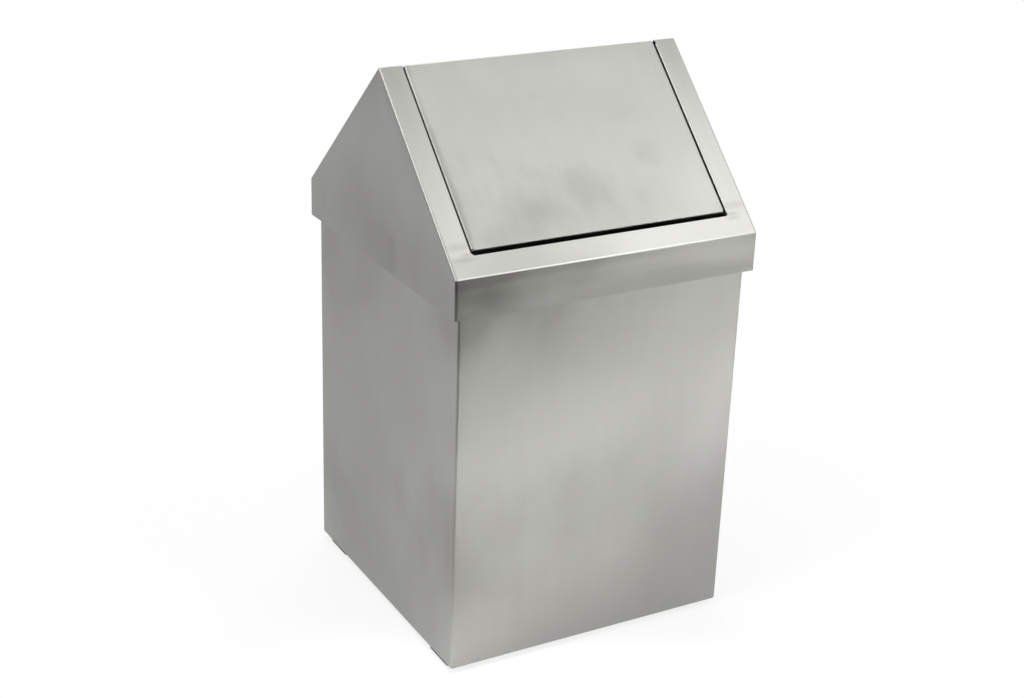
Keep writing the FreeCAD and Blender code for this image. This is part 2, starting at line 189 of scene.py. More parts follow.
def satinStainless(name, look):
    material = bpy.data.materials.new(name)
    material.use_nodes = True
    tree = material.node_tree
    tree.nodes.clear()
    flat = addNode(tree, "ShaderNodeUVMap", {"uv_map": "sheet"})
    layers = {}
    for layer, (across, along, detail) in look["grain"].items():
        scale = (1 / (across * mm), 1 / (along * mm), 1)
        place = addNode(tree, "ShaderNodeMapping", {"Scale": scale}, {"Vector": flat.outputs["UV"]})
        layers[layer] = addNode(
            tree, "ShaderNodeTexNoise", {"noise_dimensions": "2D", "Scale": 1.0, "Detail": detail},
            {"Vector": place.outputs["Vector"]}).outputs["Fac"]
    marksAndPaintedShade = None
    # each spot darkens the colour, or brightens it with a weight below zero: handling marks and welds,
    # and painted shade and painted highlights
    for across, along, reachAcross, reachAlong, weight in look["marksAndPaintedLight"]:
        spot = addNode(
            tree, "ShaderNodeMapping",
            {"Location": (-across / reachAcross, -along / reachAlong, 0),
             "Scale": (1 / (reachAcross * mm), 1 / (reachAlong * mm), 1)},
            {"Vector": flat.outputs["UV"]})
        reach = addNode(
            tree, "ShaderNodeVectorMath", {"operation": "LENGTH"}, {0: spot.outputs["Vector"]})
        ragged = addNode(
            tree, "ShaderNodeMath", {"operation": "MULTIPLY_ADD", 1: satin["ragged"]},
            {0: layers["cloud"], 2: reach.outputs["Value"]})
        markAndShadeSpot = addNode(
            tree, "ShaderNodeMapRange",
            {"interpolation_type": "SMOOTHSTEP", "From Min": satin["spotFade"][0],
             "From Max": satin["spotFade"][1], "To Min": weight, "To Max": 0},
            {"Value": ragged.outputs[0]}).outputs["Result"]
        if marksAndPaintedShade is not None:
            markAndShadeSpot = addNode(tree, "ShaderNodeMath", {"operation": "ADD"}, {0: marksAndPaintedShade, 1: markAndShadeSpot}).outputs[0]
        marksAndPaintedShade = markAndShadeSpot
    shade = None
    for layer, weight in look["shade"].items():
        part = addNode(
            tree, "ShaderNodeMath",
            {"operation": "MULTIPLY_ADD", 1: weight, 2: -noiseMiddle * weight},
            {0: layers[layer]}).outputs[0]
        if shade is not None:
            part = addNode(tree, "ShaderNodeMath", {"operation": "ADD"}, {0: shade, 1: part}).outputs[0]
        shade = part
    if marksAndPaintedShade is not None:
        shade = addNode(tree, "ShaderNodeMath", {"operation": "SUBTRACT"}, {0: shade, 1: marksAndPaintedShade}).outputs[0]
    shade = addNode(
        tree, "ShaderNodeMath", {"operation": "ADD", 1: satin["rampMiddle"], "use_clamp": True},
        {0: shade}).outputs[0]
    colour = addNode(tree, "ShaderNodeValToRGB", None, {"Fac": shade})
    for element, code in zip(colour.color_ramp.elements, look["colours"]):
        element.color = linear(code)
    rough = addNode(
        tree, "ShaderNodeMapRange",
        {"From Min": noiseRange[0], "From Max": noiseRange[1],
         "To Min": look["roughness"][0], "To Max": look["roughness"][1]},
        {"Value": layers["cloud"]}).outputs["Result"]
    scratch = addNode(
        tree, "ShaderNodeBump", {"Strength": look["scratch"], "Distance": satin["scratchDepth"]},
        {"Height": layers["line"]})
    tangent = addNode(tree, "ShaderNodeTangent", {"direction_type": "UV_MAP", "uv_map": "sheet"})
    shader = addNode(
        tree, "ShaderNodeBsdfPrincipled", {"Metallic": 1.0, "Anisotropic": look["anisotropic"]},
        {"Base Color": colour.outputs["Color"], "Roughness": rough,
         "Normal": scratch.outputs["Normal"], "Tangent": tangent.outputs["Tangent"]})
    addNode(tree, "ShaderNodeOutputMaterial", None, {"Surface": shader.outputs["BSDF"]})
    return material


# walls: straight belt lines up the sheet, greyer in wide patches of painted shade, and with one
# painted highlight where the weight is below zero
wallLook = {
    "colours": ["#888783", "#afaeab"],
    "grain": {                      # mm across, mm along, detail; the belt's lines drawn coarser to show
        "line": (0.8, 120, 2), "band": (14, 900, 2), "cloud": (120, 170, 3)},
    "shade": {"line": 0.07, "band": 0.06, "cloud": 0.26},
    "marksAndPaintedLight": [                       # mm, place across and along, reach both ways, and weight
        (130, 280, 340, 700, 0.32), (95, 440, 130, 110, 0.26), (95, 105, 130, 90, 0.26),
        (480, 490, 230, 95, 0.6), (560, 180, 130, 120, 0.18), (420, 200, 220, 110, 0.28),
        (770, 270, 110, 120, -0.4)],
    "roughness": (0.30, 0.36),
    "scratch": 0.09,
    "anisotropic": 0.65,
}
wallSteel = satinStainless("satinStainlessBelted", wallLook)

# gables: the same sheet, with painted shade in a broad band along the foot, and on the left a dark smudge
gableLook = dict(
    wallLook,
    marksAndPaintedLight=[(0, 480, 330, 120, 0.5), (0, 478, 72, 36, 0.45), (-40, 484, 16, 44, 0.3)])
gableSteel = satinStainless("satinStainlessGable", gableLook)
cleanGableLook = dict(gableLook, marksAndPaintedLight=gableLook["marksAndPaintedLight"][:1])
cleanGableSteel = satinStainless("satinStainlessGableClean", cleanGableLook)

# skirt: lines along its length that hardly stretch reflections; painted shade makes its colours darker
# than the apron strip folded with it, and darker still towards one end and in patches; a weight below
# zero brightens, as in the painted highlight along the fold
skirtLook = dict(
    wallLook, colours=["#62615d", "#aeadaa"], anisotropic=0.1, roughness=(0.29, 0.35),
    marksAndPaintedLight=[(530, -180, 90, 200, 0.5), (508, -220, 17, 330, 0.4), (470, 110, 16, 220, 0.12),
          (487, -120, 24, 150, 0.12), (487, 190, 22, 90, -0.14), (509.5, 0, 3, 2000, -1.4)])
skirtSteel = satinStainless("satinStainlessSkirt", skirtLook)

# flap: duller than the walls and paler, the paleness a painted highlight; it blurs more, has the small
# clouds that pushing hands leave, painted shade along its left edge over the bend's highlight, and a
# painted highlight where the weight is below zero
flapLook = dict(
    wallLook, colours=["#91928d", "#bebfba"],
    grain=dict(wallLook["grain"], cloud=(60, 70, 3)),
    shade={"line": 0.08, "band": 0.07, "cloud": 0.32},
    marksAndPaintedLight=[(-60, -225, 230, 110, 0.2), (-62, -205, 46, 26, 0.16), (0, -190, 60, 34, 0.12),
          (-125, -240, 60, 30, 0.14), (95, -150, 34, 24, 0.09), (-20, -60, 16, 12, 0.07),
          (-169, -130, 10, 360, 0.5), (140, -215, 70, 70, -0.12)],
    roughness=(0.40, 0.48))
flapSteel = satinStainless("satinStainlessFlap", flapLook)

# side strips of the roof: clean, and paler than the gables they are folded from, a painted highlight;
# greyed at the ridge by painted shade, and greyer where the corner weld was dressed
stripLook = dict(
    wallLook, colours=["#8e8e89", "#bebdb9"],
    marksAndPaintedLight=[(-183, -236, 22, 7, 0.22), (-176, -247, 12, 4, 0.28), (-185, -25, 40, 90, 0.2)])
stripSteel = satinStainless("satinStainlessStrip", stripLook)

# strip below the flap: the palest, which is a painted highlight; greyed towards one end by painted
# shade, and greyer beside both corner welds
apronLook = dict(
    stripLook, colours=["#91918c", "#c0bfbb"],
    marksAndPaintedLight=[(262, -130, 120, 190, 0.45), (252, 176, 4, 16, 0.25), (253, -180, 4, 20, 0.25)])
apronSteel = satinStainless("satinStainlessApron", apronLook)

# the sheet's other side keeps its mill skin: milky, paler and hardly streaked
insideLook = dict(
    wallLook, colours=["#9c9c97", "#bdbdb8"], marksAndPaintedLight=[],
    shade={"line": 0.05, "band": 0.12, "cloud": 0.4},
    roughness=(0.44, 0.54), scratch=0.05, anisotropic=0.2)
insideSteel = satinStainless("millStainlessInside", insideLook)
print("sheet steels mixed")


# Body: one sheet bent round three sides, and a rear sheet lapped inside its returns

body = {
    "gauge": 1.0 * mm,
    "bend": 2.5 * mm,
    "return": 18.0 * mm,
    "hemDepth": 12.0 * mm,
    "hemRadius": 1.2 * mm,
    "hemRelief": 6.0 * mm,
    "flange": 14.0 * mm,
    "seam": 0.2 * mm,
    "columns": 26,
    "rows": 30,
    "bendSteps": 7,
    "hemSteps": 9,
    "hemRows": 2,
    "flangeRows": 3,
    "returnColumns": 2,
    "bowMargin": 70 * mm,
    "bow": [(1.0, 900, 330, 0.4), (0.6, -520, 210, 1.9), (0.25, 260, -150, 0.7)],
}


def foldedWalls(walls, footZ, rimZ, mitreHalf, hemHalf):
    # one net for walls that follow each other round their bends, with foot flange and top hem
    bend, hemZ = body["bend"], rimZ - body["hemRadius"]
    steps = body["bendSteps"]
    rows = []                  # depth behind the face, height, normal's share outwards and up, kind
    for depth in stretch(body["flange"], bend, body["flangeRows"]):
        rows.append((depth, footZ, 0.0, -1.0, "foot"))
    for angle in stretch(-math.pi / 2, 0, steps)[1:-1]:
        out, rise = math.cos(angle), math.sin(angle)
        rows.append((bend * (1 - out), footZ + bend * (1 + rise), out, rise, "foot"))
    for height in held(footZ + bend, hemZ, body["rows"]):
        rows.append((0.0, height, 1.0, 0.0, "wall"))
    for angle in stretch(0, math.pi, body["hemSteps"])[1:]:
        out, rise = math.cos(angle), math.sin(angle)
        rows.append((body["hemRadius"] * (1 - out), hemZ + body["hemRadius"] * rise, out, rise, "hem"))
    for drop in stretch(0, body["hemDepth"], body["hemRows"])[1:]:
        rows.append((2 * body["hemRadius"], hemZ - drop, -1.0, 0.0, "hem"))

    def column(face, outward, run, along, length, travel, folds):
        stations, climb, before = [], 0.0, None
        for depth, height, out, rise, kind in rows:
            if before is not None:
                climb += math.hypot(depth - before[0], height - before[1])
            before = (depth, height)
            allowed = folds and (kind != "hem" or abs(along - length / 2) <= hemHalf + tiny)
            if kind != "wall" and not allowed:
                stations.append(None)
                continue
            point = face - outward * depth + up * height
            if kind == "foot":
                point += travel * (along - length / 2) * (min(1, (mitreHalf - depth) / (length / 2)) - 1)
            if kind == "wall" and folds:
                fade = panelFade(along, 0, length, height, footZ, rimZ, body["bowMargin"])
                point -= outward * ripple(body["bow"], run, height) * fade
            stations.append((point, outward * out + up * rise, (run, climb)))
        return stations

    net, run = [], 0.0
    for index, (start, travel, outward, length, folds) in enumerate(walls):
        places = held(0, length, body["returnColumns"])
        if folds:
            inset = length / 2 - hemHalf
            places = places[:2] + stretch(inset, length - inset, body["columns"]) + places[-2:]
        for along in places:
            net.append(column(start + travel * along, outward, run + along, along, length, travel, folds))
        run += length
        if index + 1 < len(walls):
            turnTo = walls[index + 1][2]
            pivot = start + travel * length - outward * bend
            for angle in stretch(0, math.pi / 2, steps)[1:-1]:
                normal = outward * math.cos(angle) + turnTo * math.sin(angle)
                net.append(column(pivot + normal * bend, normal, run + bend * angle, 0, 1, travel, False))
            run += bend * math.pi / 2
    return net


wrapLow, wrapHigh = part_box("body_wrap")
half = wrapHigh.x
inner = half - body["bend"]
lip = body["return"] - body["bend"]
left, right, front, rear = Vector((-1, 0, 0)), Vector((1, 0, 0)), Vector((0, -1, 0)), Vector((0, 1, 0))
wrapWalls = [
    (Vector((-inner + lip, half, 0)), left, rear, lip, False),
    (Vector((-half, inner, 0)), front, left, 2 * inner, True),
    (Vector((-inner, -half, 0)), right, front, 2 * inner, True),
    (Vector((half, -inner, 0)), rear, right, 2 * inner, True),
    (Vector((inner, half, 0)), left, rear, lip, False),
]
wrapNet = foldedWalls(wrapWalls, wrapLow.z, wrapHigh.z, half - body["seam"], inner - body["hemRelief"])
sheetPiece("bodyWrap", [wrapNet], [wallSteel], body["gauge"], "bin", ["body_wrap"])

rearLow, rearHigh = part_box("rear_panel")
rearWalls = [(Vector((rearHigh.x, rearHigh.y, 0)), left, rear, 2 * rearHigh.x, True)]
rearNet = foldedWalls(
    rearWalls, rearLow.z, rearHigh.z, rearHigh.x - body["seam"], inner - body["hemRelief"])
sheetPiece("rearPanel", [rearNet], [wallSteel], body["gauge"], "bin", ["rear_panel"])


# Lid: two gables with roof strips folded from them, and two aprons between

lid = {
    "gauge": 1.0 * mm,
    "bend": 2.5 * mm,
    "pitch": math.radians(43.4),
    "sideStrip": 29.6 * mm,
    "endStrip": 26.5 * mm,
    "corner": 4.0 * mm,
    "lip": 3.0 * mm,            # how far the sides of the opening are turned down
    "lipBend": 1.2 * mm,
    "lipRelief": 6.0 * mm,      # from the ridge, where the lip is cut away
    "seam": 0.05 * mm,
    "columns": 22,
    "rows": 20,
    "bendSteps": 7,
    "lipSteps": 4,
    "stripRows": 5,
    "skirtRows": 10,
    "eaveRows": 3,
    "cornerShares": (0.35, 0.62, 0.82, 0.93),     # rows round each corner of the opening
    "gableMargin": 45 * mm,
    "gableDish": [(0.6, 520, 640, 0.9), (0.3, -260, 300, 2.2)],
    "skirtMargin": 34 * mm,
    "skirtDish": 0.25 * mm,
    "skirtWave": [(0.22, 900, 240, 0.6), (0.1, -500, 130, 2.0)],
}
gableLow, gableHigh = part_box("lid_left_gable")
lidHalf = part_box("lid_front_apron")[1].x
lidFoot = gableLow.z
cosPitch, sinPitch, tanPitch = math.cos(lid["pitch"]), math.sin(lid["pitch"]), math.tan(lid["pitch"])
ridge = gableHigh.z + lid["bend"] * (1 / cosPitch - 1)
slopeLength = lidHalf / cosPitch
mouthLength = slopeLength - lid["endStrip"]
mouthHalf = lidHalf - lid["sideStrip"]
lidInner = lidHalf - lid["bend"]


def roofNormal(side):
    return Vector((0, side * sinPitch, cosPitch))


def foldAxis(reach):
    # where the gable's fold has its centre, this far from the ridge towards an eave
    return Vector((-lidInner, reach, ridge - abs(reach) * tanPitch - lid["bend"] / cosPitch))


def gableNets():
    bend, steps = lid["bend"], lid["bendSteps"]
    seamAlong = mouthLength - lid["seam"]
    cornerAlong = mouthLength - lid["corner"]
    firstAlong = bend * tanPitch
    lastAlong = (lidInner - lid["seam"] + bend * sinPitch) / cosPitch
    alongs = held(firstAlong, cornerAlong, lid["columns"])
    alongs.insert(2, lid["lipRelief"])
    alongs += [cornerAlong + lid["corner"] * share for share in lid["cornerShares"]] + [seamAlong]
    alongs += stretch(seamAlong, lastAlong, lid["eaveRows"])[1:]
    spans = [(-along, roofNormal(-1), -1) for along in reversed(alongs)]
    for angle in stretch(-lid["pitch"], lid["pitch"], 2 * steps)[1:-1]:
        spans.append((0, Vector((0, math.sin(angle), math.cos(angle))), 0))
    spans += [(along, roofNormal(1), 1) for along in alongs]
    freeFoot = lidFoot - 1      # a border far below, so that the hollow runs out at the open edge
    lipAngles = stretch(0, math.pi / 2, lid["lipSteps"])[1:]
    stripStations = len(held(0, 1, lid["stripRows"])) + len(lipAngles) + 1      # face, bend, lip
    endNet, stripNet = [], []
    for along, normal, side in spans:
        reach = 0 if side == 0 else side * (abs(along) * cosPitch - bend * sinPitch)
        axis = foldAxis(reach)
        wall = []
        for height in held(lidFoot, axis.z, lid["rows"]):
            if side == 0 and height < axis.z:
                wall.append(None)
                continue
            point = Vector((-lidHalf, reach, height))
            fade = panelFade(reach, -lidInner, lidInner, height, freeFoot, axis.z, lid["gableMargin"])
            point.x += ripple(lid["gableDish"], reach, height) * fade
            wall.append((point, left, (reach, height)))
        for angle in stretch(0, math.pi / 2, steps)[1:]:
            facing = left * math.cos(angle) + normal * math.sin(angle)
            arc = bend * angle
            wall.append((axis + facing * bend, facing, (reach + normal.y * arc, axis.z + normal.z * arc)))
        endNet.append(wall)
        strip = []
        if abs(along) <= seamAlong + tiny:
            flare = max(abs(along) - cornerAlong, 0)
            edge = mouthHalf - lid["corner"] + math.sqrt(max(lid["corner"] ** 2 - flare ** 2, 0))
            run = along if side else bend * math.atan2(normal.y, normal.z)
            lipped = side != 0 and lid["lipRelief"] <= abs(along) <= cornerAlong + tiny
            fold = lid["lipBend"] if lipped else 0
            for across in held(-lidInner, -edge - fold, lid["stripRows"]):
                point = axis + normal * bend
                point.x = across
                strip.append((point, normal, (across, run)))
            if lipped:
                for angle in lipAngles:
                    facing = normal * math.cos(angle) + right * math.sin(angle)
                    point = axis + normal * (bend - fold) + facing * fold
                    point.x = fold * math.sin(angle) - edge - fold
                    strip.append((point, facing, (fold * angle - edge - fold, run)))
                drop = lid["lip"] - fold
                place = (fold * math.pi / 2 - edge - fold + drop, run)
                strip.append((point - normal * drop, right, place))
        stripNet.append(strip + [None] * (stripStations - len(strip)))
    return [endNet, stripNet]


def apronNets():
    bend, steps = lid["bend"], lid["bendSteps"]
    core = foldAxis(-lidInner)
    topAlong = (lidInner + bend * sinPitch) / cosPitch
    spans = [(-1, -lidInner, angle) for angle in stretch(math.pi / 2, 0, steps)[:-1]]
    spans += [(0, across, 0) for across in held(-lidInner, lidInner, 2 * lid["columns"])]
    spans += [(1, lidInner, angle) for angle in stretch(0, math.pi / 2, steps)[1:]]
    skirtNet, stripNet = [], []
    for end, across, turnAngle in spans:
        centre = Vector((across, core.y, core.z))

        def faced(tilt):
            ahead = Vector((0, -math.cos(tilt), math.sin(tilt)))
            return ahead * math.cos(turnAngle) + Vector((end, 0, 0)) * math.sin(turnAngle)

        run = across + end * bend * turnAngle
        wall = []
        for height in held(lidFoot, core.z, lid["skirtRows"]):
            climb = math.pi * (height - lidFoot) / (core.z - lidFoot)
            fade = smooth((lidInner - abs(across)) / lid["skirtMargin"])
            fade *= math.sin(climb)      # deepest halfway between fold and edge
            dent = (lid["skirtDish"] + ripple(lid["skirtWave"], height, across)) * fade
            facing = faced(0)
            point = Vector((centre.x, centre.y, height)) + facing * (bend - dent)
            wall.append((point, facing, (height, run)))
        for tilt in stretch(0, math.pi / 2 - lid["pitch"], steps)[1:]:
            facing = faced(tilt)
            wall.append((centre + facing * bend, facing, (core.z + bend * tilt, run)))
        skirtNet.append(wall)
        if end == 0:
            strip = []
            for along in held(topAlong, mouthLength, lid["stripRows"]):
                point = Vector((across, -along * cosPitch, ridge - along * sinPitch))
                strip.append((point, roofNormal(-1), (along, across)))
            stripNet.append(strip)
    return [skirtNet, stripNet]


mirror = Matrix.Scale(-1, 3, (1, 0, 0))
halfTurn = Matrix.Rotation(math.pi, 3, "Z")
for name, node, turn, steel in (
        ("lidGableLeft", "lid_left_gable", None, gableSteel),
        ("lidGableRight", "lid_right_gable", mirror, cleanGableSteel)):
    finishes = [steel, stripSteel]
    sheetPiece(name, gableNets(), finishes, lid["gauge"], "lid", [node], turn)
for name, node, turn in (
        ("lidApronFront", "lid_front_apron", None),
        ("lidApronRear", "lid_rear_apron", halfTurn)):
    finishes = [skirtSteel, apronSteel]
    sheetPiece(name, apronNets(), finishes, lid["gauge"], "lid", [node], turn)


# Flap: one sheet bent over the ridge, its edges returned inwards, corners left open

flap = {
    "gauge": 1.0 * mm,
    "bend": 2.5 * mm,
    "sink": 0.3 * mm,
    "return": 14.0 * mm,
    "ridgeRadius": 3.0 * mm,
    "sideGap": 2.1 * mm,
    "endGap": 6.1 * mm,
    "columns": 24,
    "rows": 20,
    "bendSteps": 6,
    "crownSteps": 8,
    "returnRows": 3,
    "margin": 60 * mm,
    "pillow": [(0.6, 680, 1000, 0.3), (0.25, 300, -380, 1.2)],
}
flapHalf = mouthHalf - flap["sideGap"]
flapLength = mouthLength - flap["endGap"]


def flapNets():
    bend, sink, steps = flap["bend"], flap["sink"], flap["bendSteps"]
    faceHalf, faceEnd = flapHalf - bend, flapLength - bend
    ridgeDepth = sink + flap["ridgeRadius"]
    foot = sink + flap["return"]

    def slopePoint(side, along, depth):
        reach = along * cosPitch - depth * sinPitch
        return Vector((0, side * reach, ridge - along * sinPitch - depth * cosPitch))

    def rowPoints(depth):
        # places down both slopes and over the ridge at this depth below the roof
        start = max(ridgeDepth, depth) * tanPitch
        radius = max(ridgeDepth - depth, 0)
        axis = Vector((0, 0, ridge - max(ridgeDepth, depth) / cosPitch))
        frontRows = [(-1, along, slopePoint(-1, along, depth), roofNormal(-1))
                     for along in held(faceEnd, start, flap["rows"])]
        rearRows = [(1, along, slopePoint(1, along, depth), roofNormal(1))
                    for along in held(start, faceEnd, flap["rows"])]
        crown = []
        for angle in stretch(-lid["pitch"], lid["pitch"], flap["crownSteps"])[1:-1]:
            normal = Vector((0, math.sin(angle), math.cos(angle)))
            crown.append((0, angle * radius, axis + normal * radius, normal))
        return frontRows + crown + rearRows

    def signedRun(side, along):
        return side * along if side else along

    faceNet = []
    # side return from its sheared edge up, round the bend, across the face and down the other side
    sections = [(-1, "drop", depth) for depth in held(foot, sink + bend, flap["returnRows"])]
    sections += [(-1, "bend", angle) for angle in stretch(math.pi / 2, 0, steps)[1:-1]]
    sections += [(0, "face", across) for across in held(-faceHalf, faceHalf, flap["columns"])]
    sections += [(1, "bend", angle) for angle in stretch(0, math.pi / 2, steps)[1:-1]]
    sections += [(1, "drop", depth) for depth in held(sink + bend, foot, flap["returnRows"])]
    for side, kind, value in sections:
        stations = []
        if kind == "drop":
            for slope, along, point, normal in rowPoints(value):
                place = (side * (flapHalf + value - sink), signedRun(slope, along))
                stations.append((point + Vector((side * flapHalf, 0, 0)), Vector((side, 0, 0)), place))
        elif kind == "bend":
            depth = sink + bend * (1 - math.cos(value))
            for slope, along, point, normal in rowPoints(sink):
                facing = normal * math.cos(value) + Vector((side, 0, 0)) * math.sin(value)
                spot = point - normal * (depth - sink)
                spot.x = side * (faceHalf + bend * math.sin(value))
                place = (side * (faceHalf + bend * value), signedRun(slope, along))
                stations.append((spot, facing, place))
        else:
            for slope, along, point, normal in rowPoints(sink):
                spot = point.copy()
                spot.x = value
                if slope:
                    fade = panelFade(value, -faceHalf, faceHalf, along, 0, faceEnd, flap["margin"])
                    spot -= normal * ripple(flap["pillow"], value, along) * fade
                stations.append((spot, normal, (value, signedRun(slope, along))))
        faceNet.append(stations)
    nets = [faceNet]
    for slope in (-1, 1):
        footNet = []
        ahead = Vector((0, slope * cosPitch, -sinPitch))
        for across in held(-faceHalf, faceHalf, flap["columns"]):
            stations = []
            for angle in stretch(0, math.pi / 2, steps):
                facing = roofNormal(slope) * math.cos(angle) + ahead * math.sin(angle)
                point = slopePoint(slope, faceEnd, sink + bend) + facing * bend
                point.x = across
                stations.append((point, facing, (across, slope * (faceEnd + bend * angle))))
            for depth in held(sink + bend, foot, flap["returnRows"])[1:]:
                point = slopePoint(slope, flapLength, depth)
                point.x = across
                stations.append((point, ahead, (across, slope * (faceEnd + bend * math.pi / 2 + depth))))
            footNet.append(stations)
        nets.append(footNet)
    return nets


sheetPiece(
    "flapPanel", flapNets(), [flapSteel] * 3, flap["gauge"], "flap", ["flap_panel"])


# Solid pieces keep their CAD shape and get a finish of their own

solidDetail = 3.0             # octaves of grain and cloud


def solidFinish(name, look):
    material = bpy.data.materials.new(name)
    material.use_nodes = True
    tree = material.node_tree
    tree.nodes.clear()
    place = addNode(tree, "ShaderNodeTexCoord")
    layers = []
    for size in (look["grain"], look["cloud"]):
        scaled = addNode(
            tree, "ShaderNodeMapping", {"Scale": [1 / (length * mm) for length in size]},
            {"Vector": place.outputs["Object"]})
        layers.append(addNode(
            tree, "ShaderNodeTexNoise", {"Scale": 1.0, "Detail": solidDetail},
            {"Vector": scaled.outputs["Vector"]}).outputs["Fac"])
    grain, cloud = layers
    shade = addNode(
        tree, "ShaderNodeMix", {"data_type": "FLOAT", 0: look["cloudShare"]},
        {2: grain, 3: cloud}).outputs[0]
    colour = addNode(tree, "ShaderNodeValToRGB", None, {"Fac": shade})
    for element, stop, code in zip(colour.color_ramp.elements, noiseRange, look["colours"]):
        element.position = stop
        element.color = linear(code)
    rough = addNode(
        tree, "ShaderNodeMapRange",
        {"From Min": noiseRange[0], "From Max": noiseRange[1],
         "To Min": look["roughness"][0], "To Max": look["roughness"][1]},
        {"Value": cloud}).outputs["Result"]
    relief = addNode(
        tree, "ShaderNodeBump", {"Strength": look["relief"], "Distance": look["depth"] * mm},
        {"Height": grain})
    shader = addNode(
        tree, "ShaderNodeBsdfPrincipled", {"Metallic": look["metallic"]},
        {"Base Color": colour.outputs["Color"], "Roughness": rough, "Normal": relief.outputs["Normal"]})
    addNode(tree, "ShaderNodeOutputMaterial", None, {"Surface": shader.outputs["BSDF"]})
    nodes = look.get("nodes", [])
    for node in nodes:
        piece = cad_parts[node]
        if not piece.material_slots:
            piece.data.materials.append(material)
        for slot in piece.material_slots:
            slot.material = material
    print("finished", len(nodes), "CAD pieces in", name)
    return material


# cold-rolled stainless with its mill skin: milky, with faint streaks along the roll
solidFinish("millStainlessRolled", {
    "nodes": ["base_pan", "lid_rest_left", "lid_rest_right", "pivot_bracket_left", "pivot_bracket_right",
              "flap_cheek_left", "flap_cheek_right"],
    "colours": ["#92938d", "#b3b3ae"], "metallic": 1.0, "roughness": (0.32, 0.42),
    "grain": (6, 90, 90), "cloud": (70, 110, 110), "cloudShare": 0.55,      # mm
    "relief": 0.08, "depth": 0.05})

# drawn steel rod: bright, with the die's fine lines along it
solidFinish("drawnSteelRod", {
    "nodes": ["pivot_rod"],
    "colours": ["#8a8c8c", "#b9bbba"], "metallic": 1.0, "roughness": (0.29, 0.40),
    "grain": (60, 0.5, 0.5), "cloud": (25, 6, 6), "cloudShare": 0.4,        # mm, lines coarser to show
    "relief": 0.15, "depth": 0.03})

# barrel-plated zinc: pale bluish grey, blotched where parts rubbed in the barrel
solidFinish("zincSteelPlated", {
    "nodes": ["foot_screws", "foot_washers", "foot_nuts", "rod_clips"],
    "colours": ["#9ba0a3", "#c2c6c8"], "metallic": 1.0, "roughness": (0.30, 0.46),
    "grain": (0.7, 0.7, 0.7), "cloud": (4, 4, 4), "cloudShare": 0.6,        # mm
    "relief": 0.12, "depth": 0.03})

# moulded rubber: near black, matt, greyed by floor dust
solidFinish("blackRubberMoulded", {
    "nodes": ["foot_front_left", "foot_front_right", "foot_rear_left", "foot_rear_right"],
    "colours": ["#161618", "#2b2b2c"], "metallic": 0.0, "roughness": (0.68, 0.85),
    "grain": (0.8, 0.8, 0.8), "cloud": (9, 9, 6), "cloudShare": 0.65,       # mm
    "relief": 0.35, "depth": 0.1})

# nylon turned from rod: black, waxy, with fine tool lines across the rod's axis
solidFinish("blackNylonTurned", {
    "nodes": ["pivot_bush_left", "pivot_bush_right", "rod_spacer_left", "rod_spacer_right"],
    "colours": ["#131315", "#232326"], "metallic": 0.0, "roughness": (0.40, 0.55),
    "grain": (0.4, 12, 12), "cloud": (5, 5, 5), "cloudShare": 0.5,          # mm
    "relief": 0.3, "depth": 0.05})


# Short weld beads close the flap's open corners

# stainless weld, left undressed: rippled, tinted straw to brown by its heat
weldSteel = solidFinish("stainlessWeldTinted", {
    "colours": ["#7d6b4a", "#c9bb98"], "metallic": 1.0, "roughness": (0.30, 0.42),
    "grain": (0.6, 0.6, 0.6), "cloud": (3, 3, 3), "cloudShare": 0.7,        # mm
    "relief": 0.1, "depth": 0.03})

weld = {
    "radius": 1.3 * mm,
    "swell": 0.16,              # how much each drop of the bead stands out, as a share of its radius
    "drop": 1.5 * mm,
    "length": 10.5 * mm,
    "offset": 1.15 * mm,        # from the ends of the flat face, both ways
    "sunk": 0.9,                # how far it starts below the face, as a share of its radius
    "tip": 0.02,                # least square of its width at the ends
    "sides": 12,
    "rings": 28,
}


def cornerBeads():
    bm = bmesh.new()
    for slope in (-1, 1):
        ahead = Vector((0, slope * cosPitch, -sinPitch))
        for side in (-1, 1):
            start = Vector((0, 0, ridge)) + ahead * (flapLength - flap["bend"] + weld["offset"])
            start -= roofNormal(slope) * (flap["sink"] + weld["radius"] * weld["sunk"])
            start.x = side * (flapHalf - flap["bend"] + weld["offset"])
            loops = []
            for depth in stretch(0, weld["length"], weld["rings"]):
                cap = min(depth, weld["length"] - depth) / weld["radius"]
                taper = math.sqrt(max(1 - (1 - min(cap, 1)) ** 2, weld["tip"]))
                swell = 1 + weld["swell"] * (abs(math.sin(math.pi * depth / weld["drop"])) - 1)
                radius = weld["radius"] * taper * swell
                loop = []
                for angle in stretch(0, 2 * math.pi, weld["sides"])[:-1]:
                    reach = right * math.cos(angle) + ahead * math.sin(angle)
                    loop.append(bm.verts.new(start - roofNormal(slope) * depth + reach * radius))
                loops.append(loop)
            for here, there in zip(loops, loops[1:]):
                for one in range(weld["sides"]):
                    two = (one + 1) % weld["sides"]
                    bm.faces.new([here[one], here[two], there[two], there[one]])
            bm.faces.new(loops[0][::-1])
            bm.faces.new(loops[-1])
    bmesh.ops.recalc_face_normals(bm, faces=bm.faces)
    for face in bm.faces:
        face.smooth = True
    mesh = bpy.data.meshes.new("flapCornerWelds")
    bm.to_mesh(mesh)
    bm.free()
    mesh.materials.append(weldSteel)
    beads = bpy.data.objects.new("flapCornerWelds", mesh)
    bpy.context.scene.collection.objects.link(beads)
    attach(beads, "flap")
    print("made flapCornerWelds with", len(mesh.polygons), "faces")


cornerBeads()


# Camera, fitted to the corners of the can in the photograph

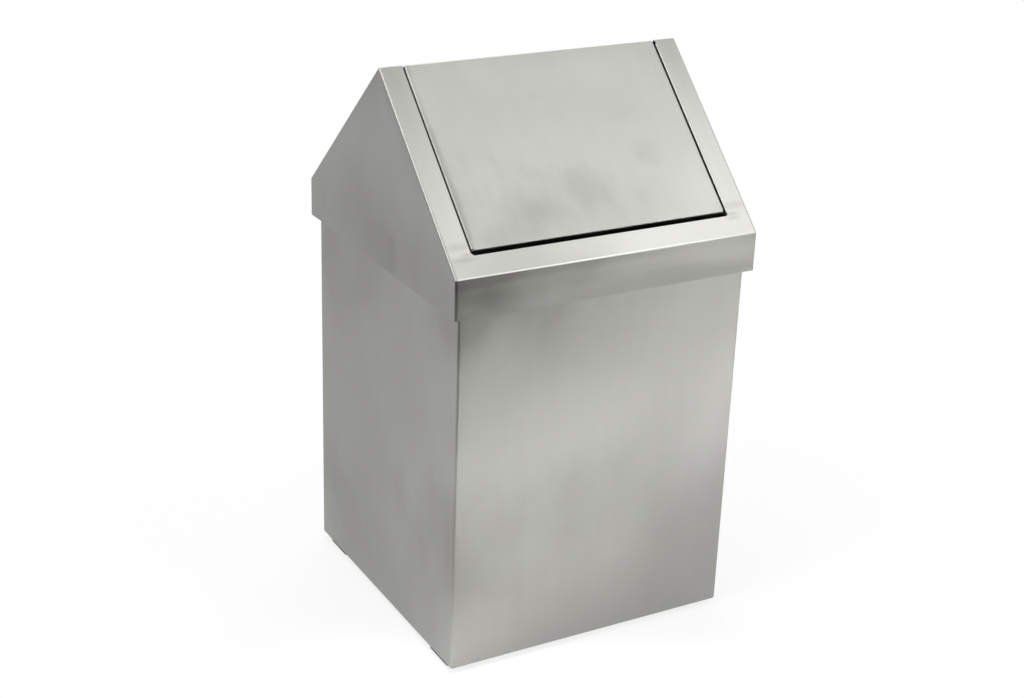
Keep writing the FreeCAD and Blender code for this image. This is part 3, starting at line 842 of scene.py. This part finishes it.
camera = {
    "focal": 1806.2,                  # pixels
    "imageWidth": 1024,               # pixels
    "sensor": 36,                     # mm
    "azimuth": math.radians(-29.596),
    "elevation": math.radians(22.933),
    "roll": math.radians(1.987),
    "shift": (-0.00209, 0.28476),     # metres off the can's foot, right and up in the picture
    "distance": 2.3991,               # metres
    "floor": 7 * mm,                  # the fit's zero lies this far over the floor
}
azimuth, elevation, roll = camera["azimuth"], camera["elevation"], camera["roll"]
back = Vector((
    math.sin(azimuth) * math.cos(elevation),
    -math.cos(azimuth) * math.cos(elevation),
    math.sin(elevation)))
sideways = up.cross(back).normalized()
upright = back.cross(sideways)
camRight = sideways * math.cos(roll) + upright * math.sin(roll)
camUp = upright * math.cos(roll) - sideways * math.sin(roll)
camData = bpy.data.cameras.new("camera")
camData.sensor_width = camera["sensor"]
camData.lens = camera["focal"] * camera["sensor"] / camera["imageWidth"]
cam = bpy.data.objects.new("camera", camData)
bpy.context.scene.collection.objects.link(cam)
spot = camRight * camera["shift"][0] + camUp * camera["shift"][1] + back * camera["distance"]
spot.z += camera["floor"]
cam.matrix_world = Matrix((
    (camRight.x, camUp.x, back.x, spot.x),
    (camRight.y, camUp.y, back.y, spot.y),
    (camRight.z, camUp.z, back.z, spot.z),
    (0, 0, 0, 1)))
bpy.context.scene.camera = cam
print("camera set")


# Studio: a white floor in a white room, soft boxes round the can, and on the floor a grey card with
# a white sweep on it that only the metal's reflections see

studio = {
    "skyColour": "#ffffff",
    "paperColour": "#f4f4f2",
    "cardColour": "#8e8e8c",
    "floorSize": 14.0,
    "sweepAxis": (0.4979, 0.8672, 0.0),   # over the floor, away from the photo's side
    "sweepSide": (-0.8672, 0.4979, 0.0),  # to the left
    "sweepApex": 2.15,                    # the sweep widens from this far in front of the can
    "sweepNearest": 0.1,                  # and has one width closer than this to where it starts
    "sweepSpread": (0.66, 1.00),          # where its left edge fades, as a share of that distance
    "sweepFront": (0.60, 0.76),           # where its near end fades, in metres
    "flareAxis": (0.85, 0.53, 0.0),       # on the right it reaches nearer, as far as a slanted edge
    "flareFront": (0.06, 0.30),
    "edgeSide": (0.0, 0.15),              # on the left it reaches on, into what the near bend mirrors
    "edgeFront": (0.95, 1.15),
    "paperGlow": (0.8, 1.0),              # share of the paper that shines, near the can and far off
    "paperClear": (0.7, 1.7),             # metres from the can where the first passes into the second
    "sweepGlow": 0.66,                    # share of the sweep that shines, close to the can
    "glowFront": (0.20, 0.38),            # where that fades, in metres
    "aim": (0.0, 0.0, 0.55),              # where the aimed lamps point
    "lamps": {
        "keyLight": {"size": (2.6, 1.8), "place": (1.85, -1.5, 2.6), "power": 22.5},
        "backLight": {"size": (2.4, 2.4), "place": (0.3, 1.9, 2.7), "power": 40},
        "bandLight": {                    # narrow, lights a strip of card in front of the can
            "size": (2.34, 0.1), "place": (0.95, -1.18, 1.3), "power": 10.2,
            "spread": math.radians(25), "turn": azimuth},
        "footLight": {                    # small, lights the card at the near corner
            "size": (0.6, 0.08), "place": (-0.07, -0.285, 0.5), "power": 0.25,
            "spread": math.radians(30), "turn": azimuth},
        "foldLight": {"size": (1.2, 1.2), "place": (-1.35, -0.35, 3.1), "power": 12, "aimed": True},
        "sideLight": {
            "size": (0.8, 1.8), "place": (-2.5, -0.4, 2.0), "power": 1.9,
            "spread": math.radians(40), "aimed": True},
        "eaveLight": {
            "size": (0.8, 1.6), "place": (1.40, -2.55, 1.45), "power": 1.3,
            "spread": math.radians(40), "aimed": True},
    },
    "cardHeight": 0.5 * mm,
    "backdrop": 1.0,
    "ambient": 0.64,
}
scene = bpy.context.scene
scene.view_settings.view_transform = "Standard"


def levelSheet(name, height, material):
    reach = studio["floorSize"]
    mesh = bpy.data.meshes.new(name)
    corners = [(-reach, -reach), (reach, -reach), (reach, reach), (-reach, reach)]
    mesh.from_pydata([(x, y, height) for x, y in corners], [], [(0, 1, 2, 3)])
    mesh.materials.append(material)
    sheet = bpy.data.objects.new(name, mesh)
    scene.collection.objects.link(sheet)
    return sheet


def seenRay(tree):
    # 1 for rays from the camera, and for those that metal or glass sends on
    rays = addNode(tree, "ShaderNodeLightPath")
    seen = rays.outputs["Is Camera Ray"]
    for kind in ("Is Glossy Ray", "Is Transmission Ray"):
        seen = addNode(
            tree, "ShaderNodeMath", {"operation": "MAXIMUM"},
            {0: seen, 1: rays.outputs[kind]}).outputs[0]
    return seen


# matt white paper: nearly all of its light comes back, and the can's shadow stays on it
paper = bpy.data.materials.new("whitePaperMatt")
paper.use_nodes = True
tree = paper.node_tree
tree.nodes.clear()
matt = addNode(tree, "ShaderNodeBsdfDiffuse", {"Color": linear(studio["paperColour"])})
glow = addNode(tree, "ShaderNodeEmission", {"Strength": studio["backdrop"]})
place = addNode(tree, "ShaderNodeNewGeometry")
reach = addNode(tree, "ShaderNodeVectorMath", {"operation": "LENGTH"}, {0: place.outputs["Position"]})
clear = addNode(
    tree, "ShaderNodeMapRange",
    {"interpolation_type": "SMOOTHSTEP",
     "From Min": studio["paperClear"][0], "From Max": studio["paperClear"][1],
     "To Min": studio["paperGlow"][0], "To Max": studio["paperGlow"][1]},
    {"Value": reach.outputs["Value"]})
share = addNode(
    tree, "ShaderNodeMath", {"operation": "MULTIPLY"}, {0: clear.outputs["Result"], 1: seenRay(tree)})
mixed = addNode(
    tree, "ShaderNodeMixShader", None, {0: share.outputs[0], 1: matt.outputs[0], 2: glow.outputs[0]})
addNode(tree, "ShaderNodeOutputMaterial", None, {"Surface": mixed.outputs[0]})
levelSheet("floor", 0, paper)

# grey card with a soft white sweep: darkens and lights what the walls mirror
card = bpy.data.materials.new("greyCardSwept")
card.use_nodes = True
tree = card.node_tree
tree.nodes.clear()
place = addNode(tree, "ShaderNodeNewGeometry")
away = addNode(
    tree, "ShaderNodeVectorMath", {"operation": "DOT_PRODUCT", 1: studio["sweepAxis"]},
    {0: place.outputs["Position"]})
aside = addNode(
    tree, "ShaderNodeVectorMath", {"operation": "DOT_PRODUCT", 1: studio["sweepSide"]},
    {0: place.outputs["Position"]})
depth = addNode(
    tree, "ShaderNodeMath", {"operation": "ADD", 1: studio["sweepApex"]}, {0: away.outputs["Value"]})
depth = addNode(
    tree, "ShaderNodeMath", {"operation": "MAXIMUM", 1: studio["sweepNearest"]}, {0: depth.outputs[0]})
spread = addNode(
    tree, "ShaderNodeMath", {"operation": "DIVIDE"}, {0: aside.outputs["Value"], 1: depth.outputs[0]})
wide = addNode(
    tree, "ShaderNodeMapRange",
    {"interpolation_type": "SMOOTHSTEP",
     "From Min": studio["sweepSpread"][0], "From Max": studio["sweepSpread"][1],
     "To Min": 1.0, "To Max": 0.0},
    {"Value": spread.outputs[0]})
flare = addNode(
    tree, "ShaderNodeVectorMath", {"operation": "DOT_PRODUCT", 1: studio["flareAxis"]},
    {0: place.outputs["Position"]})
fades = {}
ends = {"sweepFront": away, "flareFront": flare, "edgeFront": away, "glowFront": away}
for edge, measured in ends.items():
    fades[edge] = addNode(
        tree, "ShaderNodeMapRange",
        {"interpolation_type": "SMOOTHSTEP", "From Min": -studio[edge][1], "From Max": -studio[edge][0]},
        {"Value": measured.outputs["Value"]}).outputs["Result"]
near = addNode(
    tree, "ShaderNodeMath", {"operation": "MAXIMUM"}, {0: fades["sweepFront"], 1: fades["flareFront"]})
leftward = addNode(
    tree, "ShaderNodeMapRange",
    {"interpolation_type": "SMOOTHSTEP",
     "From Min": studio["edgeSide"][0], "From Max": studio["edgeSide"][1]},
    {"Value": aside.outputs["Value"]})
further = addNode(
    tree, "ShaderNodeMath", {"operation": "MULTIPLY"},
    {0: leftward.outputs["Result"], 1: fades["edgeFront"]})
near = addNode(
    tree, "ShaderNodeMath", {"operation": "MAXIMUM"}, {0: near.outputs[0], 1: further.outputs[0]})
onPaper, inGlow = [
    addNode(tree, "ShaderNodeMath", {"operation": "MULTIPLY"}, {0: wide.outputs["Result"], 1: fade})
    for fade in (near.outputs[0], fades["glowFront"])]
tone = addNode(
    tree, "ShaderNodeMix",
    {"data_type": "RGBA", 6: linear(studio["cardColour"]), 7: linear(studio["paperColour"])},
    {0: onPaper.outputs[0]})
matt = addNode(tree, "ShaderNodeBsdfDiffuse", None, {"Color": tone.outputs[2]})
glow = addNode(tree, "ShaderNodeEmission", {"Strength": studio["backdrop"]})
share = addNode(
    tree, "ShaderNodeMath", {"operation": "MULTIPLY", 1: studio["sweepGlow"]}, {0: inGlow.outputs[0]})
mixed = addNode(
    tree, "ShaderNodeMixShader", None,
    {0: share.outputs[0], 1: matt.outputs[0], 2: glow.outputs[0]})
addNode(tree, "ShaderNodeOutputMaterial", None, {"Surface": mixed.outputs[0]})
greyCard = levelSheet("greyCard", studio["cardHeight"], card)
greyCard.visible_camera = False
greyCard.visible_diffuse = False
greyCard.visible_transmission = False
greyCard.visible_shadow = False

world = bpy.data.worlds.new("room")
world.use_nodes = True
scene.world = world
tree = world.node_tree
tree.nodes.clear()
# bright white where it is seen or mirrored, dimmer where it only lights
brightness = addNode(
    tree, "ShaderNodeMapRange", {"To Min": studio["ambient"], "To Max": studio["backdrop"]},
    {"Value": seenRay(tree)})
sky = addNode(
    tree, "ShaderNodeBackground", {"Color": linear(studio["skyColour"])},
    {"Strength": brightness.outputs["Result"]})
addNode(tree, "ShaderNodeOutputWorld", None, {"Surface": sky.outputs[0]})

for lampName, lampSet in studio["lamps"].items():
    lampData = bpy.data.lights.new(lampName, "AREA")
    lampData.shape = "RECTANGLE"
    lampData.size, lampData.size_y = lampSet["size"]
    lampData.energy = lampSet["power"]
    lampData.spread = lampSet.get("spread", math.pi)
    lamp = bpy.data.objects.new(lampName, lampData)
    lamp.location = lampSet["place"]
    lamp.rotation_euler = (0, 0, lampSet.get("turn", 0))      # level, unless aimed at the lid
    if lampSet.get("aimed"):
        lamp.rotation_euler = (Vector(studio["aim"]) - lamp.location).to_track_quat("-Z", "Y").to_euler()
    lamp.visible_camera = False
    scene.collection.objects.link(lamp)
print("studio set")
